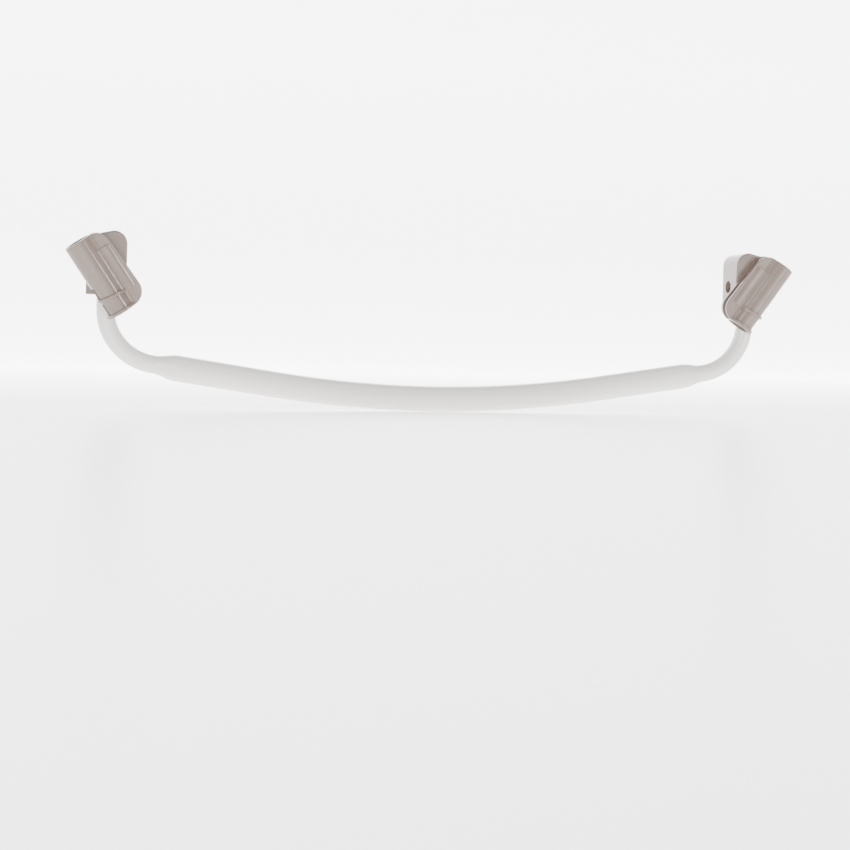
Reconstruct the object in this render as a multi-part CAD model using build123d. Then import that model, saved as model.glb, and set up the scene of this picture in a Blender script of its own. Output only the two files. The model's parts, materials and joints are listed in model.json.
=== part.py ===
from build123d import *
import os
from math import cos, radians, sin, tan

# Crib rocking bar: a bowed steel tube that stands on the floor on its belly. Each
# upturned end carries a moulded spring clip that snaps round one leg of a crib.
# Millimetres. +X runs along the bar, +Z is up, and the clips are on the -Y side.
# The origin is the point where the middle of the belly touches the floor.

# Rocker tube
belly_diameter = 25.4
end_diameter = 17.5
tube_wall = 1.5
belly_radius = 1126.0
belly_half_angle = 8.61
shoulder_length = 92.0
neck_length = 22.0
neck_to_bend = 1.0
bend_radius = 53.3
riser_length = 12.6

# Socket moulding that holds the upturned end of the tube
socket_depth = 41.0
socket_clearance = 0.15
tube_end_gap = 1.0
socket_side_wall = 9.9
socket_front_wall = 3.2
socket_back_wall = 8.0
socket_back_round = 4.0
socket_front_round = 1.5
socket_peak_rise = 19.0
socket_top_fall = 13.0
socket_inner_corner = 12.2
socket_outer_corner = 10.0

# Spring clip, in its own frame: u from the bore towards the grips, v to the front,
# t along the bore
leg_diameter = 20.0
pad_thickness = 1.2
pad_end_recess = 3.0
pad_edge_margin = 0.6
jaw_wall = 2.3
jaw_length = 77.2
jaw_tilt = 34.0
jaw_lean = 7.0
jaw_twist = 3.0
jaw_side_shift = 6.0
jaw_rise = 16.2
jaw_to_tube_gap = 1.75
tube_channel_clearance = 0.5
jaw_split = 0.15
split_step_width = 1.0
front_grip_gap = 4.2
rear_grip_gap = 3.2
front_grip_thickness = 2.5
rear_grip_thickness = 4.0
grip_reach_in_knuckle_radii = 1.82
grip_taper_slope = 0.03886
grip_top_round = 14.0
grip_bottom_round = 15.0
valley_round = 8.0
edge_round = 0.8
front_lip_drop = 1.0
rear_lip_drop = 3.5
lip_step_height = -6.0
low_lip_rise = 8.0

# Hinge of the clip
knuckle_radius = 5.0
knuckle_length = 7.0
knuckle_gap = 0.3
hinge_cover_wall = 2.7
hinge_cover_round = 1.2
hinge_cover_valley = 12.0
hinge_cover_run_out = 3.0
hinge_cover_margin = 1.0
pin_radius = 2.0
pin_grip_gap = 0.02
pin_running = 0.05
pin_blind_wall = 1.0
pin_end_gap = 0.2
pin_end_inset = 0.5
pin_chamfer = 0.4
spring_wire = 1.0
spring_pin_gap = 0.15
spring_pitch = 1.2
spring_turns = 9.5
spring_leg = 6.5
spring_seat_gap = 0.05
hinge_to_ring_gap = 0.5
plain_middle_half = 8.0

# Two ribs round each front jaw
rib_width = 3.0
rib_height = 2.0
rib_round = 0.9
upper_rib_skew = 6.0
upper_rib_from_bottom = 18.5
lower_rib_from_bottom = 2.0

# Snap button that locks the tube in its socket
button_radius = 3.0
button_height = 25.3
button_running = 0.1
button_socket_gap = 0.2
button_proud = 5.5
button_dome = 1.0
thumb_recess_radius = 6.5
thumb_recess_depth = 5.0
leaf_thickness = 0.5
leaf_width = 6.0
leaf_wall_gap = 0.1
leaf_length = 31.0
leaf_above_button = 6.0
rivet_radius = 1.5
rivet_clearance = 0.1
rivet_head_radius = 2.4
rivet_head_thickness = 0.6
leaf_button_gap = 0.05

# Sizes that follow from the ones above
belly_r = belly_diameter / 2
end_r = end_diameter / 2
slope = radians(belly_half_angle)
jaw_bore_r = leg_diameter / 2 + pad_thickness
jaw_outer_r = jaw_bore_r + jaw_wall
hinge_u = jaw_outer_r + knuckle_radius + hinge_to_ring_gap
hinge_clear_r = knuckle_radius + knuckle_gap
hinge_cover_r = hinge_clear_r + hinge_cover_wall
grip_end_u = hinge_u + grip_reach_in_knuckle_radii * knuckle_radius
grip_taper = grip_taper_slope * jaw_length
grip_front_v = front_grip_gap + front_grip_thickness
jaw_setback = jaw_outer_r + jaw_to_tube_gap + end_r
grip_back_v = -(rear_grip_gap + rear_grip_thickness)
socket_width = end_diameter + 2 * socket_side_wall
socket_r = end_r + socket_clearance
far = 200.0


def tube_stations():
    """Ends of the bow, shoulder, neck and bend of the centreline, on the +X side."""
    x, z = belly_radius * sin(slope), belly_r + belly_radius * (1 - cos(slope))
    stations = [(x, z)]
    for run in (shoulder_length, neck_length, neck_to_bend):
        x += run * cos(slope)
        z += run * sin(slope)
        stations.append((x, z))
    stations.append((x + bend_radius * (1 - sin(slope)), z + bend_radius * cos(slope)))
    return [Vector(px, 0, pz) for px, pz in stations]


bow_end, shoulder_end, neck_end, bend_start, bend_end = tube_stations()
riser_x = bend_end.X
socket_bottom = bend_end.Z + riser_length
bore_end_z = socket_bottom + socket_depth
tube_top = bore_end_z - tube_end_gap
button_z = socket_bottom + button_height


def make_jaw_frame():
    """Axes u, v and t: t tilts outwards and leans to the front, then u turns about it."""
    tilt, lean, twist = radians(jaw_tilt), radians(jaw_lean), radians(jaw_twist)
    along = Vector(sin(tilt) * cos(lean), -sin(lean), cos(tilt) * cos(lean))
    level = Vector(-cos(tilt), 0, sin(tilt))
    forward = along.cross(level).normalized()
    inward = forward.cross(along)
    return Plane(
        origin=(riser_x + jaw_side_shift, -jaw_setback, socket_bottom + jaw_rise),
        x_dir=inward * cos(twist) + forward * sin(twist),
        z_dir=along,
    )


jaw_frame = make_jaw_frame()


def place_jaw(solid):
    return jaw_frame.location * solid


def rod(radius, low, high, u=0.0, v=0.0):
    """Round bar along t."""
    return Pos(u, v, (low + high) / 2) * Cylinder(radius, high - low)


def block(u_low, u_high, v_low, v_high, t_low, t_high):
    centre = ((u_low + u_high) / 2, (v_low + v_high) / 2, (t_low + t_high) / 2)
    return Pos(*centre) * Box(u_high - u_low, v_high - v_low, t_high - t_low)


def upturn_solid(radius, top):
    """The bend and riser of the +X end, filled to one radius."""
    mid_angle = (slope + radians(90)) / 2
    bend_centre = bend_start + Vector(-sin(slope), 0, cos(slope)) * bend_radius
    bend_mid = bend_centre + Vector(sin(mid_angle), 0, -cos(mid_angle)) * bend_radius
    path = Line(neck_end, bend_start) + ThreePointArc(bend_start, bend_mid, bend_end)
    path += Line(bend_end, Vector(riser_x, 0, top))
    start = Plane(origin=neck_end, z_dir=(cos(slope), 0, sin(slope)))
    return sweep(start * Circle(radius), path=path)


def tube_solid(belly, end, top):
    """The whole tube's path filled to the given radii."""
    bow_start = Vector(-bow_end.X, 0, bow_end.Z)
    low_point = Vector(0, 0, belly_r)
    far_shoulder = Vector(-shoulder_end.X, 0, shoulder_end.Z)
    bow = ThreePointArc(bow_start, low_point, bow_end)
    belly_path = Line(far_shoulder, bow_start) + bow + Line(bow_end, shoulder_end)
    belly_start = Plane(origin=far_shoulder, z_dir=(cos(slope), 0, -sin(slope)))
    solid = sweep(belly_start * Circle(belly), path=belly_path)

    swage = Spline((0, belly), (neck_length, end), tangents=[(1, 0), (1, 0)])
    profile = make_face(Polyline((neck_length, end), (neck_length, 0), (0, 0), (0, belly)) + swage)
    neck = revolve(profile, axis=Axis.X)
    along_tube = Plane(
        origin=shoulder_end,
        x_dir=(cos(slope), 0, sin(slope)),
        z_dir=(-sin(slope), 0, cos(slope)),
    )
    end_parts = along_tube.location * neck + upturn_solid(end, top)
    return solid + end_parts + mirror(end_parts, about=Plane.YZ)


def make_rocker_tube():
    tube = tube_solid(belly_r, end_r, tube_top)
    tube -= tube_solid(belly_r - tube_wall, end_r - tube_wall, tube_top + 1)
    hole = Pos(riser_x - end_r, 0, button_z) * Rot(0, 90, 0) * Cylinder(
        button_radius + button_running, end_r
    )
    tube -= hole
    tube -= mirror(hole, about=Plane.YZ)
    return tube


def grip_outline():
    """Block over the whole depth with the clip's outline, round at the grip corners."""
    half = jaw_length / 2
    low_u = -jaw_outer_r - 2 * rib_height
    top_u = grip_end_u - grip_taper
    outline = make_face(Polyline(
        (low_u, -half), (grip_end_u, -half), (top_u, half), (low_u, half), (low_u, -half)
    ))
    outline = fillet(outline.vertices().sort_by_distance((grip_end_u, -half, 0))[0], grip_bottom_round)
    outline = fillet(outline.vertices().sort_by_distance((top_u, half, 0))[0], grip_top_round)
    return extrude(Plane.XZ.offset(-far / 2) * outline, amount=far)


def jaw_section(grip_v):
    """Ring and grip plate, with the valley between them rounded."""
    low_v, high_v = min(grip_v, 0), max(grip_v, 0)
    plate = Pos(grip_end_u / 2, (low_v + high_v) / 2) * Rectangle(grip_end_u, high_v - low_v)
    section = Circle(jaw_outer_r) + plate
    if abs(grip_v) < jaw_outer_r:
        meet_u = (jaw_outer_r ** 2 - grip_v ** 2) ** 0.5
        valley = section.vertices().sort_by_distance((meet_u, grip_v, 0))[0]
        section = fillet(valley, valley_round)
    return section


def jaw_blank(grip_v):
    """A jaw before it is split and bored, with its outer edges rounded."""
    half = jaw_length / 2
    blank = extrude(jaw_section(grip_v), amount=half, both=True) & grip_outline()
    outer_edges = []
    for edge in blank.edges():
        centre = edge.center()
        at_end = abs(abs(centre.Z) - half) < edge_round / 2
        at_face = abs(centre.Y - grip_v) < edge_round / 2 and centre.X > hinge_u
        if centre.Y * grip_v > 0 and (at_end or at_face):
            outer_edges.append(edge)
    return fillet(outer_edges, edge_round)


def hinge_cover(half_length):
    """Raised band over the hinge of the front jaw, run out softly on to ring and grip."""
    flat_end = grip_end_u - grip_taper
    section = Circle(jaw_outer_r) + Pos(hinge_u, 0) * Circle(hinge_cover_r)
    ring_meet_u = (hinge_u ** 2 + jaw_outer_r ** 2 - hinge_cover_r ** 2) / (2 * hinge_u)
    ring_meet = (ring_meet_u, (jaw_outer_r ** 2 - ring_meet_u ** 2) ** 0.5, 0)
    grip_meet = (hinge_u + (hinge_cover_r ** 2 - grip_front_v ** 2) ** 0.5, grip_front_v, 0)
    section = fillet(section.vertices().sort_by_distance(ring_meet)[0], hinge_cover_valley)
    section += Pos(flat_end / 2, grip_front_v / 2) * Rectangle(flat_end, grip_front_v)
    section = fillet(section.vertices().sort_by_distance(grip_meet)[0], hinge_cover_run_out)
    cover = extrude(section, amount=half_length, both=True) & block(0, far, 0, far, -far, far)
    end_edges = []
    for edge in cover.edges():
        at_end = abs(abs(edge.center().Z) - half_length) < hinge_cover_round / 2
        if at_end and edge.center().Y > grip_front_v - hinge_cover_round / 2:
            end_edges.append(edge)
    return fillet(end_edges, hinge_cover_round)


def split_profile(sign, lip_v, step_u):
    """Side of the parting line that a jaw keeps; sign is 1 for the front jaw."""
    gap_v = front_grip_gap if sign > 0 else -rear_grip_gap
    return make_face(Polyline(
        (-far, lip_v),
        (0, lip_v),
        (0, sign * jaw_split),
        (step_u, sign * jaw_split),
        (step_u + split_step_width, gap_v),
        (far, gap_v),
        (far, sign * far),
        (-far, sign * far),
        (-far, lip_v),
    ))


def jaw_keep(sign, lip_v, margin=0.0):
    section = split_profile(sign, lip_v + sign * margin, jaw_outer_r - split_step_width / 2)
    return extrude(section, amount=far / 2, both=True)


def rib_levels():
    bottom = -jaw_length / 2
    return [bottom + upper_rib_from_bottom, bottom + lower_rib_from_bottom]


def low_lip_cut(margin=0.0):
    """What is cut back from the low end of the front jaw's outer edge, between the ribs."""
    bottom = -jaw_length / 2
    cut = block(
        -far, -jaw_outer_r / 2, -far, low_lip_rise + margin, -far, lip_step_height + margin
    )
    if margin == 0:
        for level in rib_levels():
            cut -= block(-far, 0, 0, far, level - rib_width, level + rib_width / 2)
    return cut


def knuckle_zones():
    """Stretches of the hinge line: outer ones belong to the front jaw, inner to the rear."""
    meet = plain_middle_half + knuckle_length
    return (plain_middle_half, meet - knuckle_gap), (meet, meet + knuckle_length)


def coil_radius():
    return pin_radius + spring_pin_gap + spring_wire / 2


def both_ways(radius, zone):
    low, high = zone
    return rod(radius, low, high, hinge_u) + rod(radius, -high, -low, hinge_u)


def make_front_jaw():
    inner, outer = knuckle_zones()
    jaw = jaw_blank(grip_front_v)
    jaw += hinge_cover(outer[1] + hinge_cover_margin)
    for level, skew in zip(rib_levels(), (upper_rib_skew, 0)):
        rib = Cylinder(jaw_outer_r + rib_height, rib_width)
        rib = fillet(rib.edges().filter_by(GeomType.CIRCLE), rib_round)
        jaw += Pos(0, 0, level) * Rot(0, skew, 0) * rib
    jaw = jaw & jaw_keep(1, -front_lip_drop)
    jaw -= rod(jaw_bore_r, -far, far)
    jaw -= low_lip_cut()
    jaw -= rod(hinge_clear_r, -outer[0] + knuckle_gap / 2, outer[0] - knuckle_gap / 2, hinge_u)
    jaw += both_ways(knuckle_radius, outer)
    jaw -= rod(pin_radius + pin_grip_gap, -far, outer[1] - pin_blind_wall, hinge_u)
    seat_v = coil_radius() + spring_wire / 2 + spring_seat_gap
    seat_t = -spring_pitch * spring_turns / 2
    seat_low_u = hinge_u + spring_leg - 2 * spring_wire
    jaw += block(
        seat_low_u, seat_low_u + 3 * spring_wire, seat_v, grip_front_v - edge_round,
        seat_t - 2 * spring_wire, seat_t + spring_wire,
    )
    return jaw


def make_rear_jaw():
    inner, outer = knuckle_zones()
    jaw = jaw_blank(grip_back_v) & jaw_keep(-1, -rear_lip_drop)
    jaw -= both_ways(hinge_clear_r, (inner[1], outer[1] + knuckle_gap))
    jaw -= rod(hinge_clear_r, -inner[0], inner[0], hinge_u)
    jaw += both_ways(knuckle_radius, inner)
    jaw -= rod(pin_radius + pin_running, -outer[0], outer[0], hinge_u)
    return jaw


def socket_outline():
    """Socket from the front: rounded inner corner is the peak, the top falls outwards."""
    inner_x = riser_x - socket_width / 2
    outer_x = riser_x + socket_width / 2
    fall = radians(socket_top_fall)
    peak_z = bore_end_z + socket_peak_rise
    inner_z = peak_z + socket_inner_corner * (1 / cos(fall) + tan(fall) - 1)
    outer_z = inner_z - socket_width * tan(fall)
    outline = make_face(Polyline(
        (inner_x, socket_bottom), (outer_x, socket_bottom), (outer_x, outer_z), (inner_x, inner_z),
        (inner_x, socket_bottom),
    ))
    inner_top = outline.vertices().sort_by_distance((inner_x, inner_z, 0))[0]
    outline = fillet(inner_top, socket_inner_corner)
    outer_top = outline.vertices().sort_by_distance((outer_x, outer_z, 0))[0]
    return fillet(outer_top, socket_outer_corner)


def make_socket():
    """Round-topped block round the riser, joined to the back of the rear jaw."""
    front = end_r + socket_front_wall
    back = end_r + socket_back_wall
    reach = jaw_setback + front
    socket = extrude(Plane.XZ.offset(reach) * socket_outline(), amount=-(reach + back))
    socket = fillet(socket.edges().group_by(Axis.Y)[-1].sort_by(Axis.Z)[1:], socket_back_round)

    front_v = grip_back_v + rear_grip_thickness / 2
    behind_ring = block(-far, far, -far, front - jaw_setback, -far, far)
    behind_grip = block(0, far, -far, front_v, -far, far)
    socket = socket & place_jaw(behind_ring + behind_grip)
    front_edges = []
    for edge in socket.edges():
        centre = jaw_frame.to_local_coords(edge.center())
        if abs(centre.Y - front_v) < socket_front_round / 10 and centre.X > hinge_u:
            front_edges.append(edge)
    return fillet(front_edges, socket_front_round)


def make_socket_jaw():
    """Rear jaw and tube socket, moulded in one piece."""
    moulding = make_socket() + place_jaw(make_rear_jaw())
    moulding -= place_jaw(rod(jaw_bore_r, -far, far))
    moulding -= upturn_solid(end_r + tube_channel_clearance, socket_bottom)
    bore_height = socket_depth + 1
    bore = Pos(riser_x, 0, socket_bottom - 1 + bore_height / 2) * Cylinder(socket_r, bore_height)
    moulding -= bore
    side_x = riser_x - socket_width / 2
    recess = Pos(side_x, 0, button_z) * Rot(0, 90, 0) * Cylinder(
        thumb_recess_radius, 2 * thumb_recess_depth
    )
    moulding -= recess
    hole = Pos(side_x, 0, button_z) * Rot(0, 90, 0) * Cylinder(
        button_radius + button_socket_gap, socket_width
    )
    moulding -= hole
    return moulding


def make_pad(sign, lip_v):
    """Soft liner bonded in a jaw's half of the bore."""
    half = jaw_length / 2 - pad_end_recess
    pad = rod(jaw_bore_r, -half, half) - rod(leg_diameter / 2, -far, far)
    pad = pad & extrude(
        split_profile(sign, lip_v + sign * pad_edge_margin, hinge_u), amount=far / 2, both=True
    )
    pad -= block(0, far, -pad_edge_margin, pad_edge_margin, -far, far)
    if sign > 0:
        pad -= low_lip_cut(pad_edge_margin)
    return pad


def make_hinge_pin():
    outer_end = knuckle_zones()[1][1]
    top = outer_end - pin_blind_wall - pin_end_gap
    pin = rod(pin_radius, pin_end_inset - outer_end, top, hinge_u)
    return chamfer(pin.edges().filter_by(GeomType.CIRCLE), pin_chamfer)


def make_jaw_spring():
    """Torsion spring round the pin; its legs press the two grips apart."""
    height = spring_pitch * spring_turns
    helix = Helix(pitch=spring_pitch, height=height, radius=coil_radius())
    first_leg = Line(helix @ 0 - (helix % 0) * spring_leg, helix @ 0)
    last_leg = Line(helix @ 1, helix @ 1 + (helix % 1) * spring_leg)
    start = Plane(origin=first_leg @ 0, z_dir=first_leg % 0)
    wire = sweep(start * Circle(spring_wire / 2), path=first_leg + helix + last_leg)
    return Pos(hinge_u, 0, -height / 2) * Rot(0, 0, 90) * wire


def leaf_offset():
    """Distance of a leaf's outer face from the tube's axis."""
    bore_r = end_r - tube_wall
    return (bore_r ** 2 - (leaf_width / 2) ** 2) ** 0.5 - leaf_wall_gap


def make_snap_button():
    leaf_x = leaf_offset()
    base = leaf_x + leaf_button_gap
    tip = end_r + button_proud
    button = Pos(0, 0, (base + tip) / 2) * Cylinder(button_radius, tip - base)
    button = fillet(button.edges().sort_by(Axis.Z)[-1], button_dome)
    back = leaf_x - leaf_thickness - leaf_button_gap
    button += Pos(0, 0, (back + base) / 2) * Cylinder(rivet_radius, base - back + 0.2)
    button += Pos(0, 0, back - rivet_head_thickness / 2) * Cylinder(
        rivet_head_radius, rivet_head_thickness
    )
    return Pos(riser_x, 0, button_z) * Rot(0, -90, 0) * button


def make_button_spring():
    """Strip bent to a U, open at the top; one leaf carries the button."""
    outer = leaf_offset()
    top = button_z + leaf_above_button
    bottom = top - leaf_length
    centre = Pos(riser_x, bottom + outer)
    strip = centre * Circle(outer) - centre * Circle(outer - leaf_thickness)
    strip = strip & (Pos(riser_x, bottom + outer / 2) * Rectangle(3 * outer, outer))
    leaf_run = top - bottom - outer
    for side in (-1, 1):
        leaf_x = riser_x + side * (outer - leaf_thickness / 2)
        strip += Pos(leaf_x, top - leaf_run / 2) * Rectangle(leaf_thickness, leaf_run)
    spring = extrude(Plane.XZ * strip, amount=leaf_width / 2, both=True)
    hole = Pos(riser_x - outer, 0, button_z) * Rot(0, 90, 0) * Cylinder(
        rivet_radius + rivet_clearance, outer
    )
    return spring - hole


right_end = {
    "socket_jaw": make_socket_jaw(),
    "front_jaw": place_jaw(make_front_jaw()),
    "rear_pad": place_jaw(make_pad(-1, -rear_lip_drop)),
    "front_pad": place_jaw(make_pad(1, -front_lip_drop)),
    "hinge_pin": place_jaw(make_hinge_pin()),
    "jaw_spring": place_jaw(make_jaw_spring()),
    "snap_button": make_snap_button(),
    "button_spring": make_button_spring(),
}

nodes = {"rocker_tube": make_rocker_tube()}
for name, solid in right_end.items():
    nodes["right_" + name] = solid
    nodes["left_" + name] = mirror(solid, about=Plane.YZ)

os.makedirs("parts", exist_ok=True)
for name, solid in nodes.items():
    export_step(solid, "parts/" + name + ".step")
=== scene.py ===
import json
from math import cos, pi, radians, sin, tau

import bmesh
import bpy
from mathutils import Matrix, Vector


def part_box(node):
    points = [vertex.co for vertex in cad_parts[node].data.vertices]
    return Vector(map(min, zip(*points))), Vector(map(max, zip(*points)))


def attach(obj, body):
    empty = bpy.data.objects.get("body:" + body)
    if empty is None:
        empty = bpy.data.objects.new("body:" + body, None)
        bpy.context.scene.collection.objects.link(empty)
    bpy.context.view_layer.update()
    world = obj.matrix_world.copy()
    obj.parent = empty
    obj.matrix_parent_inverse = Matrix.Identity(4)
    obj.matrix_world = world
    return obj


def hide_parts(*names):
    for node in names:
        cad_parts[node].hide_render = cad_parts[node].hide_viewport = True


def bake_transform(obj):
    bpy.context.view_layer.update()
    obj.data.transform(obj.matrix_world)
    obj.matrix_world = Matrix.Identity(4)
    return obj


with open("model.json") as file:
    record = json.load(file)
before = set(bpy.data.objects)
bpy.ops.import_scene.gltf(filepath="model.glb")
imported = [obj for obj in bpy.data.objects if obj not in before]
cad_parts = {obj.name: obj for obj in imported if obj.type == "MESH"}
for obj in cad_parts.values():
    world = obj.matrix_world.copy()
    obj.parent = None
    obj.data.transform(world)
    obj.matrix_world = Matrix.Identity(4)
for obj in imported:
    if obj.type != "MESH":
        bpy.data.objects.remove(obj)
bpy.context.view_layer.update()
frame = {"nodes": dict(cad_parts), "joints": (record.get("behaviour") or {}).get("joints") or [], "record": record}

# A bowed, white powder-coated tube with a moulded clip on each upturned end.
# Metres, in the frame's axes: +X along the bar, +Z up, clips on the -Y side.
MM = 0.001

# Tube: a bow, straight shoulders, necks swaged to the end size, then the upturns
BELLY_RADIUS = 12.7 * MM
END_RADIUS = 8.75 * MM
TUBE_WALL = 1.5 * MM
BOW_RADIUS = 1126 * MM
BOW_HALF_ANGLE = radians(8.61)
SHOULDER_LENGTH = 92 * MM
NECK_LENGTH = 22 * MM
NECK_TO_BEND = 1 * MM
BEND_RADIUS = 53.3 * MM
BUTTON_HOLE_RADIUS = 3.1 * MM

# Torsion spring on each hinge pin, and leaf spring behind each snap button
COIL_WIRE_RADIUS = 0.5 * MM
COIL_RADIUS = 2.65 * MM
COIL_PITCH = 1.2 * MM
COIL_TURNS = 9.5
COIL_LEG = 6.5 * MM
LEAF_THICKNESS = 0.5 * MM
LEAF_WIDTH = 6 * MM
LEAF_OFFSET = 6.5 * MM
LEAF_LENGTH = 31 * MM
LEAF_ABOVE_BUTTON = 6 * MM
RIVET_HOLE_RADIUS = 1.6 * MM

SIDES = ("left", "right")
nodes = frame["nodes"]
joints = {joint["name"]: joint for joint in frame["joints"]}
mounts = {mount["name"]: mount for mount in frame["record"]["mounts"]}


# Materials ---------------------------------------------------------------------------

def colour(hex_code):
    """sRGB hex to linear RGBA."""
    channels = [int(hex_code[i:i + 2], 16) / 255 for i in (0, 2, 4)]
    linear = [c / 12.92 if c <= 0.04045 else ((c + 0.055) / 1.055) ** 2.4 for c in channels]
    return (*linear, 1.0)


def add(tree, kind, inputs=None, **settings):
    """Adds a node with its settings; an input is a value or another node's output."""
    made = tree.nodes.new(kind)
    for name, value in settings.items():
        setattr(made, name, value)
    for name, value in (inputs or {}).items():
        if isinstance(value, bpy.types.NodeSocket):
            tree.links.new(value, made.inputs[name])
        else:
            made.inputs[name].default_value = value
    return made


def new_material(name):
    """A material whose tree holds only a texture coordinate node; returns it, its tree and the Object coordinates.
    """
    material = bpy.data.materials.new(name)
    material.use_nodes = True
    tree = material.node_tree
    tree.nodes.clear()
    coordinates = add(tree, "ShaderNodeTexCoord").outputs["Object"]
    return material, tree, coordinates


def per_metre(feature_mm):
    """Noise scale whose features are about this many millimetres across."""
    return 1000 / feature_mm


def noise(tree, place, feature_mm, detail):
    """Cloudy pattern from 0 to 1 with features of this size."""
    made = add(tree, "ShaderNodeTexNoise", {
        "Vector": place, "Scale": per_metre(feature_mm), "Detail": detail,
    })
    return made.outputs["Fac"]


def relief(tree, height, strength, depth_mm):
    """Shading normal of a surface that this pattern raises."""
    made = add(tree, "ShaderNodeBump", {
        "Height": height, "Strength": strength, "Distance": depth_mm * MM,
    })
    return made.outputs["Normal"]


def tone(tree, factor, dark, light):
    """Mixes two close tones of one finish."""
    return add(tree, "ShaderNodeMix", {"Factor": factor, "A": colour(dark), "B": colour(light)},
               data_type="RGBA").outputs["Result"]


def mapped(tree, value, low, high):
    """Stretches a 0 to 1 pattern over low to high."""
    spread = add(tree, "ShaderNodeMapRange", {"Value": value, "To Min": low, "To Max": high})
    return spread.outputs["Result"]


def finish_material(tree, shader):
    add(tree, "ShaderNodeOutputMaterial", {"Surface": shader.outputs["BSDF"]})


def powder_coat():
    """Baked polyester powder on steel: bright warm white, glossy, with a fine orange peel."""
    material, tree, place = new_material("powder_coated_steel_white")
    peel = noise(tree, place, 2.2, 2.0)
    drift = noise(tree, place, 60, 3.0)
    bump = relief(tree, peel, 0.05, 0.2)
    shader = add(tree, "ShaderNodeBsdfPrincipled", {
        "Base Color": tone(tree, drift, "F1EDE9", "F7F4F0"),
        "Roughness": mapped(tree, peel, 0.2, 0.3),
        "IOR": 1.5,
        "Coat Weight": 0.4,
        "Coat Roughness": 0.12,
        "Normal": bump,
    })
    finish_material(tree, shader)
    return material


def moulded_abs():
    """Injection-moulded ABS, warm grey right through: semi-gloss, with a faint mould grain."""
    material, tree, place = new_material("moulded_abs_warm_grey")
    grain = noise(tree, place, 0.9, 3.0)
    flow = noise(tree, place, 28, 4.0)
    bump = relief(tree, grain, 0.06, 0.1)
    shader = add(tree, "ShaderNodeBsdfPrincipled", {
        "Base Color": tone(tree, flow, "7F7068", "8A7B72"),
        "Roughness": mapped(tree, flow, 0.12, 0.18),
        "IOR": 1.53,
        "Normal": bump,
    })
    finish_material(tree, shader)
    return material


def rubber_pad_finish_with_painted_shade():
    """Soft moulded rubber for the grip pads: near black, matt, with a dusty fine pebble; the near-black tone is
    partly painted shade in the clip's mouth and open bore end.
    """
    material, tree, place = new_material("pad_dark_rubber_painted_shade")
    cells = add(tree, "ShaderNodeTexVoronoi", {"Vector": place, "Scale": per_metre(0.7)})
    pebble = cells.outputs["Distance"]
    dust = noise(tree, place, 9, 5.0)
    bump = relief(tree, pebble, 0.25, 0.1)
    shader = add(tree, "ShaderNodeBsdfPrincipled", {
        # Near-black pad tone: partly the rubber's own colour, partly painted shade in the clip's mouth and bore
        # end
        "Base Color": tone(tree, dust, "211D1B", "36302D"),
        "Roughness": mapped(tree, dust, 0.62, 0.8),
        "IOR": 1.52,
        "Normal": bump,
    })
    finish_material(tree, shader)
    return material


def steel(name, dark, light, rough_low, rough_high, lay_mm, stretch):
    """Steel whose fine marks run along one axis of the part; stretch scales the noise in X, Y, Z."""
    material, tree, place = new_material(name)
    lay = add(tree, "ShaderNodeMapping", {"Vector": place, "Scale": stretch})
    marks = noise(tree, lay.outputs["Vector"], lay_mm, 4.0)
    bump = relief(tree, marks, 0.08, 0.05)
    shader = add(tree, "ShaderNodeBsdfPrincipled", {
        "Base Color": tone(tree, marks, dark, light),
        "Metallic": 1.0,
        "Roughness": mapped(tree, marks, rough_low, rough_high),
        "Normal": bump,
    })
    finish_material(tree, shader)
    return material


# Ground pin: marks round the shaft, so they are short across its length
pin_steel = steel("ground_steel_pin", "A6A4A0", "C4C2BE", 0.2, 0.34, 0.4, (1.0, 1.0, 1.6))
# Oiled music wire: darker, with fine drawing marks
spring_wire = steel("drawn_spring_steel", "77746F", "96928C", 0.26, 0.42, 0.3, (1.0, 1.0, 1.0))
# Nickel-plated button: bright, lightly brushed along the tube
plated_steel = steel("nickel_plated_steel", "B4B0A8", "CFCBC3", 0.16, 0.28, 0.3, (1.0, 1.0, 0.2))

SLOT_MATERIALS = {
    "powder_coat": powder_coat(),
    "clip_moulding": moulded_abs(),
    # Grip pads: dark rubber whose near-black tone is partly painted shade
    "pad_rubber": rubber_pad_finish_with_painted_shade(),
    "pin_steel": pin_steel,
    "spring_steel": spring_wire,
    "button_steel": plated_steel,
}


def dress_cad_nodes():
    """Gives each CAD node the finished material of its slot."""
    for part in frame["record"]["subparts"]:
        piece = nodes[part["node"]]
        piece.data.materials.clear()
        piece.data.materials.append(SLOT_MATERIALS[part["material_slot"]])


# Round section swept along a curve, with an optional change of size ------------------------

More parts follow.
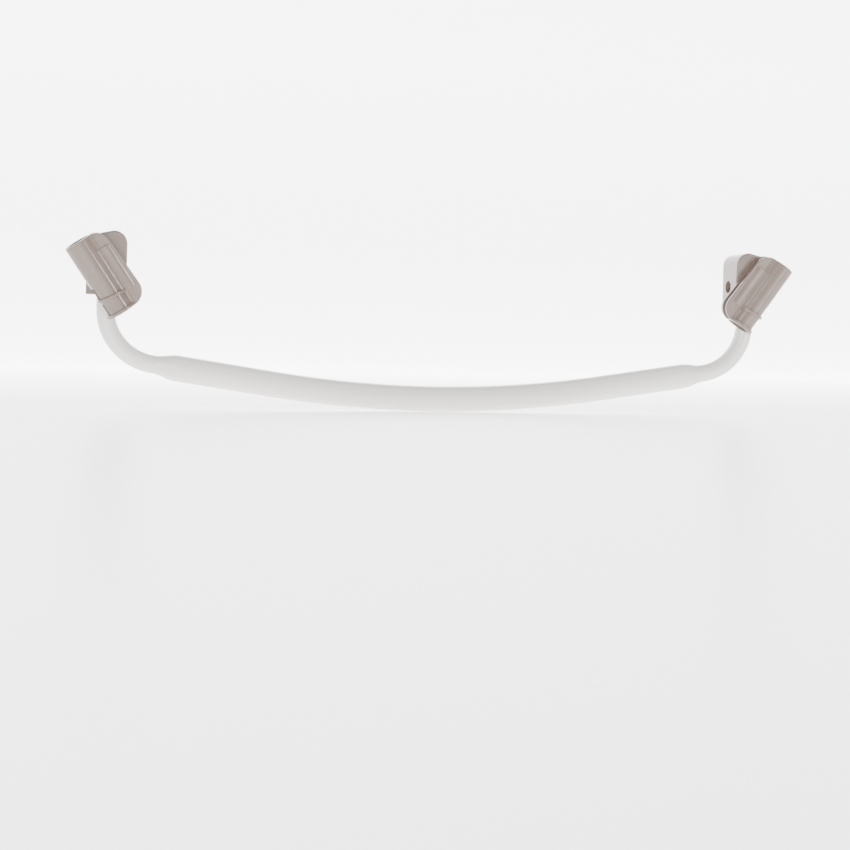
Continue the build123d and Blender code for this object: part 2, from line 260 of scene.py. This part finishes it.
def sweep_tree():
    """Curve in, mesh out: the radius runs from Middle Radius to End Radius with |x|."""
    tree = bpy.data.node_groups.new("swept_round_section", "GeometryNodeTree")
    face = tree.interface
    face.new_socket("Geometry", in_out="INPUT", socket_type="NodeSocketGeometry")
    for name in ("Middle Radius", "End Radius", "Change Starts", "Change Ends"):
        face.new_socket(name, in_out="INPUT", socket_type="NodeSocketFloat")
    face.new_socket("Sides", in_out="INPUT", socket_type="NodeSocketInt")
    face.new_socket("Fill Ends", in_out="INPUT", socket_type="NodeSocketBool")
    face.new_socket("Material", in_out="INPUT", socket_type="NodeSocketMaterial")
    face.new_socket("Geometry", in_out="OUTPUT", socket_type="NodeSocketGeometry")
    given = add(tree, "NodeGroupInput").outputs
    position = add(tree, "GeometryNodeInputPosition")
    apart = add(tree, "ShaderNodeSeparateXYZ", {"Vector": position.outputs["Position"]})
    from_middle = add(tree, "ShaderNodeMath", {0: apart.outputs["X"]}, operation="ABSOLUTE")
    radius = add(tree, "ShaderNodeMapRange", {
        "Value": from_middle.outputs[0],
        "From Min": given["Change Starts"],
        "From Max": given["Change Ends"],
        "To Min": given["Middle Radius"],
        "To Max": given["End Radius"],
    }, interpolation_type="SMOOTHSTEP")
    path = add(tree, "GeometryNodeSetCurveRadius", {
        "Curve": given["Geometry"], "Radius": radius.outputs["Result"],
    })
    section = add(tree, "GeometryNodeCurvePrimitiveCircle", {
        "Resolution": given["Sides"], "Radius": 1.0,
    })
    size = add(tree, "GeometryNodeInputRadius")
    swept = add(tree, "GeometryNodeCurveToMesh", {
        "Curve": path.outputs["Curve"],
        "Profile Curve": section.outputs["Curve"],
        "Scale": size.outputs["Radius"],
        "Fill Caps": given["Fill Ends"],
    })
    smooth = add(tree, "GeometryNodeSetShadeSmooth", {"Geometry": swept.outputs["Mesh"]})
    real = add(tree, "GeometryNodeRealizeInstances", {"Geometry": smooth.outputs["Geometry"]})
    dressed = add(tree, "GeometryNodeSetMaterial", {
        "Geometry": real.outputs["Geometry"], "Material": given["Material"],
    })
    add(tree, "NodeGroupOutput", {"Geometry": dressed.outputs["Geometry"]})
    return tree


SWEEP = sweep_tree()


def linked(name, data):
    """A new object in the scene, at the origin."""
    made = bpy.data.objects.new(name, data)
    bpy.context.scene.collection.objects.link(made)
    return made


def evaluated_mesh(piece):
    """The piece with its modifiers applied, as a plain mesh."""
    graph = bpy.context.evaluated_depsgraph_get()
    return bpy.data.meshes.new_from_object(piece.evaluated_get(graph), depsgraph=graph)


def swept_mesh(points, material, middle, end=None, starts=0.0, ends=1.0, sides=24, fill=True):
    """Mesh of the sweep along these points."""
    curve = bpy.data.curves.new("path", "CURVE")
    curve.dimensions = "3D"
    spline = curve.splines.new("POLY")
    spline.points.add(len(points) - 1)
    for slot, point in zip(spline.points, points):
        slot.co = (*point, 1.0)
    holder = linked("path", curve)
    modifier = holder.modifiers.new("sweep", "NODES")
    modifier.node_group = SWEEP
    values = {
        "Middle Radius": middle,
        "End Radius": end or middle,
        "Change Starts": starts,
        "Change Ends": ends,
        "Sides": sides,
        "Fill Ends": fill,
        "Material": material,
    }
    for item in SWEEP.interface.items_tree:
        if item.in_out == "INPUT" and item.name in values:
            modifier[item.identifier] = values[item.name]
    mesh = evaluated_mesh(holder)
    bpy.data.objects.remove(holder)
    return mesh


def place_piece(name, mesh, body, slot, *replaced):
    """A finished mesh becomes a piece of the model."""
    mesh.name = name
    piece = linked(name, mesh)
    if body:
        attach(piece, body)
    if replaced:
        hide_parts(*replaced)
    return piece


def outward(mesh):
    """Merges doubles and turns every face outwards."""
    work = bmesh.new()
    work.from_mesh(mesh)
    bmesh.ops.remove_doubles(work, verts=work.verts, dist=0.002 * MM)
    bmesh.ops.recalc_face_normals(work, faces=work.faces)
    work.to_mesh(mesh)
    work.free()


# Rocker tube -------------------------------------------------------------------------

def half_path(top):
    """Centreline of the +X half, from the middle of the belly to the top of the upturn."""
    points = []
    steps = 60
    for i in range(steps + 1):
        angle = BOW_HALF_ANGLE * i / steps
        rise = BOW_RADIUS * (1 - cos(angle))
        points.append(Vector((BOW_RADIUS * sin(angle), 0, BELLY_RADIUS + rise)))
    forward = Vector((cos(BOW_HALF_ANGLE), 0, sin(BOW_HALF_ANGLE)))
    for run, count in ((SHOULDER_LENGTH, 20), (NECK_LENGTH, 24), (NECK_TO_BEND, 1)):
        start = points[-1]
        points += [start + forward * run * (i + 1) / count for i in range(count)]
    inward = Vector((-sin(BOW_HALF_ANGLE), 0, cos(BOW_HALF_ANGLE)))
    centre = points[-1] + inward * BEND_RADIUS
    turn = pi / 2 - BOW_HALF_ANGLE
    steps = 48
    for i in range(1, steps + 1):
        angle = BOW_HALF_ANGLE + turn * i / steps
        points.append(centre + Vector((sin(angle), 0, -cos(angle))) * BEND_RADIUS)
    bend_end = points[-1]
    steps = 24
    rise = top - bend_end.z
    points += [bend_end + Vector((0, 0, rise * i / steps)) for i in range(1, steps + 1)]
    return points


def cut_hole(piece, centre, radius, depth):
    """Cuts a round hole along X through a piece."""
    cutter_mesh = bpy.data.meshes.new("cutter")
    work = bmesh.new()
    bmesh.ops.create_cone(
        work, cap_ends=True, segments=32, radius1=radius, radius2=radius, depth=depth,
        matrix=Matrix.Translation(centre) @ Matrix.Rotation(pi / 2, 4, "Y"),
    )
    work.to_mesh(cutter_mesh)
    work.free()
    cutter = linked("cutter", cutter_mesh)
    cut = piece.modifiers.new("hole", "BOOLEAN")
    cut.operation = "DIFFERENCE"
    cut.object = cutter
    cut.solver = "EXACT"
    mesh = evaluated_mesh(piece)
    piece.modifiers.clear()
    piece.data = mesh
    bpy.data.objects.remove(cutter)


def hand_of(side):
    """1 on the +X side and -1 on the other, which is its mirror image."""
    return 1 if side == "right" else -1


def button_centre(side):
    """Middle of the side's snap button."""
    low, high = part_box(side + "_snap_button")
    return (low + high) / 2


def make_rocker_tube():
    """Tube with real wall thickness, swept along the bow and both upturns."""
    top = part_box("rocker_tube")[1].z
    half = half_path(top)
    path = [Vector((-p.x, p.y, p.z)) for p in reversed(half[1:])] + half
    neck_starts = BOW_RADIUS * sin(BOW_HALF_ANGLE) + SHOULDER_LENGTH * cos(BOW_HALF_ANGLE)
    neck_ends = neck_starts + NECK_LENGTH * cos(BOW_HALF_ANGLE)
    mesh = swept_mesh(path, SLOT_MATERIALS["powder_coat"], BELLY_RADIUS, END_RADIUS,
                      neck_starts, neck_ends, sides=72, fill=False)
    tube = linked("tube_skin", mesh)
    wall = tube.modifiers.new("wall", "SOLIDIFY")
    wall.thickness = TUBE_WALL
    wall.offset = -1
    mesh = evaluated_mesh(tube)
    tube.modifiers.clear()
    tube.data = mesh
    for side in SIDES:
        button = button_centre(side)
        inner_wall = (half[-1].x - END_RADIUS) * hand_of(side)
        cut_hole(tube, Vector((inner_wall, 0, button.z)), BUTTON_HOLE_RADIUS, END_RADIUS)
    mesh = tube.data
    bpy.data.objects.remove(tube)
    mesh.materials.clear()
    mesh.materials.append(SLOT_MATERIALS["powder_coat"])
    outward(mesh)
    mesh.shade_smooth()
    place_piece("powder_coated_tube", mesh, "bar", "powder_coat", "rocker_tube")


# Springs: each sits between the two bodies that it works against -----------------------

def make_jaw_spring(side):
    """Torsion spring on the hinge pin: one leg bears on the front jaw, the other on the rear."""
    hinge = Vector(joints[side + "_jaw_hinge"]["pos_m"])
    bore = Vector(mounts[side + "_leg_clip"]["pos_m"])
    along = Vector(mounts[side + "_leg_clip"]["axis"]).normalized()
    to_hinge = (hinge - bore).normalized()
    forward = along.cross(to_hinge) * hand_of(side)
    points = []
    steps_per_turn = 28
    steps = int(COIL_TURNS * steps_per_turn)
    for i in range(steps + 1):
        angle = pi / 2 + tau * i / steps_per_turn
        rise = COIL_PITCH * (i / steps_per_turn - COIL_TURNS / 2)
        round_pin = to_hinge * cos(angle) + forward * sin(angle)
        points.append(hinge + round_pin * COIL_RADIUS + along * rise)
    first = (points[0] - points[1]).normalized()
    last = (points[-1] - points[-2]).normalized()
    leg_steps = 8
    lead_in = [points[0] + first * COIL_LEG * i / leg_steps for i in range(leg_steps, 0, -1)]
    lead_out = [points[-1] + last * COIL_LEG * i / leg_steps for i in range(1, leg_steps + 1)]
    wire = lead_in + points + lead_out
    mesh = swept_mesh(wire, SLOT_MATERIALS["spring_steel"], COIL_WIRE_RADIUS, sides=14)
    outward(mesh)
    mesh.shade_smooth()
    spring = place_piece(side + "_torsion_spring", mesh, None, "spring_steel", side + "_jaw_spring")
    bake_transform(spring)


def make_button_spring(side):
    """U-shaped leaf spring in the upturn; its inner leaf carries the button."""
    button = button_centre(side)
    hand = hand_of(side)
    riser = half_path(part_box("rocker_tube")[1].z)[-1].x
    top = button.z + LEAF_ABOVE_BUTTON
    turn_z = top - LEAF_LENGTH + LEAF_OFFSET
    leaf_steps, turn_steps = 26, 24
    stations = [(pi, top + (turn_z - top) * i / leaf_steps) for i in range(leaf_steps)]
    stations += [(pi + pi * i / turn_steps, turn_z) for i in range(turn_steps + 1)]
    stations += [(tau, turn_z + (top - turn_z) * (i + 1) / leaf_steps) for i in range(leaf_steps)]
    work = bmesh.new()
    rings = []
    for angle, z in stations:
        corners = []
        for offset, y in ((0, -1), (0, 1), (LEAF_THICKNESS, 1), (LEAF_THICKNESS, -1)):
            reach = LEAF_OFFSET - offset
            corners.append(work.verts.new((
                hand * (riser + cos(angle) * reach), y * LEAF_WIDTH / 2, z + sin(angle) * reach,
            )))
        rings.append(corners)
    for one, two in zip(rings, rings[1:]):
        for i in range(4):
            j = (i + 1) % 4
            work.faces.new((one[i], one[j], two[j], two[i]))
    work.faces.new(rings[0])
    work.faces.new(rings[-1])
    mesh = bpy.data.meshes.new("leaf")
    bmesh.ops.recalc_face_normals(work, faces=work.faces)
    work.to_mesh(mesh)
    work.free()
    mesh.materials.append(SLOT_MATERIALS["spring_steel"])
    leaf = linked("leaf", mesh)
    leaf_x = hand * (riser - LEAF_OFFSET)
    cut_hole(leaf, Vector((leaf_x, 0, button.z)), RIVET_HOLE_RADIUS, LEAF_OFFSET)
    mesh = leaf.data
    bpy.data.objects.remove(leaf)
    outward(mesh)
    spring = place_piece(side + "_leaf_spring", mesh, None, "spring_steel", side + "_button_spring")
    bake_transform(spring)


# Studio ------------------------------------------------------------------------------

def make_floor():
    """Pale seamless floor that curves up behind the bar."""
    mesh = bpy.data.meshes.new("studio_floor")
    work = bmesh.new()
    front_y, curve_y, wall_height = -3.0, 1.6, 3.2
    half_width = 4.0
    curve_radius = 0.8
    profile = [(front_y, 0.0), (curve_y, 0.0)]
    steps = 16
    for i in range(1, steps + 1):
        angle = pi / 2 * i / steps
        profile.append((curve_y + curve_radius * sin(angle), curve_radius * (1 - cos(angle))))
    profile.append((curve_y + curve_radius, wall_height))
    rows = [[work.verts.new((x, y, z)) for y, z in profile] for x in (-half_width, half_width)]
    for i in range(len(profile) - 1):
        work.faces.new((rows[0][i], rows[1][i], rows[1][i + 1], rows[0][i + 1]))
    work.to_mesh(mesh)
    work.free()
    mesh.shade_smooth()
    material, tree, place = new_material("painted_studio_floor")
    mottle = noise(tree, place, 300, 2.0)
    # Lit from behind: the glow grows from the bar's foot to the curve, which hides the horizon
    depth = add(tree, "ShaderNodeSeparateXYZ", {"Vector": place})
    glow = add(tree, "ShaderNodeMapRange", {
        "Value": depth.outputs["Y"], "From Min": 0.1, "From Max": curve_y, "To Min": 1.3, "To Max": 5.0,
    }).outputs["Result"]
    shader = add(tree, "ShaderNodeBsdfPrincipled", {
        "Base Color": tone(tree, mottle, "FBFBFB", "FEFEFE"),
        "Roughness": 0.3,
        "Emission Color": colour("FFFFFF"),
        "Emission Strength": glow,
    })
    finish_material(tree, shader)
    mesh.materials.append(material)
    linked("studio_floor", mesh)


def softbox(name, azimuth, elevation, distance, width, height, power):
    """Area light that faces the bar; azimuth 0 is straight in front, positive to the right."""
    turn, lift = radians(azimuth), radians(elevation)
    target = Vector((0, 0, 0.08))
    towards = Vector((sin(turn) * cos(lift), -cos(turn) * cos(lift), sin(lift)))
    data = bpy.data.lights.new(name, "AREA")
    data.shape = "RECTANGLE"
    data.size = width
    data.size_y = height
    data.energy = power
    light = linked(name, data)
    light.location = target + towards * distance
    light.rotation_euler = towards.to_track_quat("Z", "Y").to_euler()


def make_lights():
    softbox("overhead_softbox", 0, 75, 1.6, 2.4, 1.2, 15)
    softbox("front_fill", -10, 28, 2.2, 1.2, 0.6, 4)
    softbox("left_strip", -26, 9, 1.9, 0.2, 1.0, 18)
    softbox("right_strip", 38, 3, 1.9, 0.2, 1.0, 18)
    world = bpy.data.worlds.new("white_room")
    world.use_nodes = True
    world.node_tree.nodes["Background"].inputs["Color"].default_value = colour("FFFFFF")
    world.node_tree.nodes["Background"].inputs["Strength"].default_value = 0.15
    bpy.context.scene.world = world


def make_camera():
    """Level view from a little to the left, turned slightly clockwise in its own plane."""
    azimuth, elevation, roll = radians(-13.6), radians(0.0), radians(1.2)
    distance = 1.539
    target = Vector((0, 0, 0.0727))
    back = Vector((sin(azimuth) * cos(elevation), -cos(azimuth) * cos(elevation), sin(elevation)))
    level_right = Vector((cos(azimuth), sin(azimuth), 0))
    level_up = back.cross(level_right)
    right = level_right * cos(roll) + level_up * sin(roll)
    up = level_up * cos(roll) - level_right * sin(roll)
    data = bpy.data.cameras.new("camera")
    data.sensor_width = 36
    data.lens = 65.2
    data.shift_x = -0.0178
    data.shift_y = -0.1013
    camera = linked("camera", data)
    turned = Matrix((right, up, back)).transposed().to_4x4()
    camera.matrix_world = Matrix.Translation(target + back * distance) @ turned
    bpy.context.scene.camera = camera


dress_cad_nodes()
make_rocker_tube()
for side in SIDES:
    make_jaw_spring(side)
    make_button_spring(side)
make_floor()
make_lights()
make_camera()
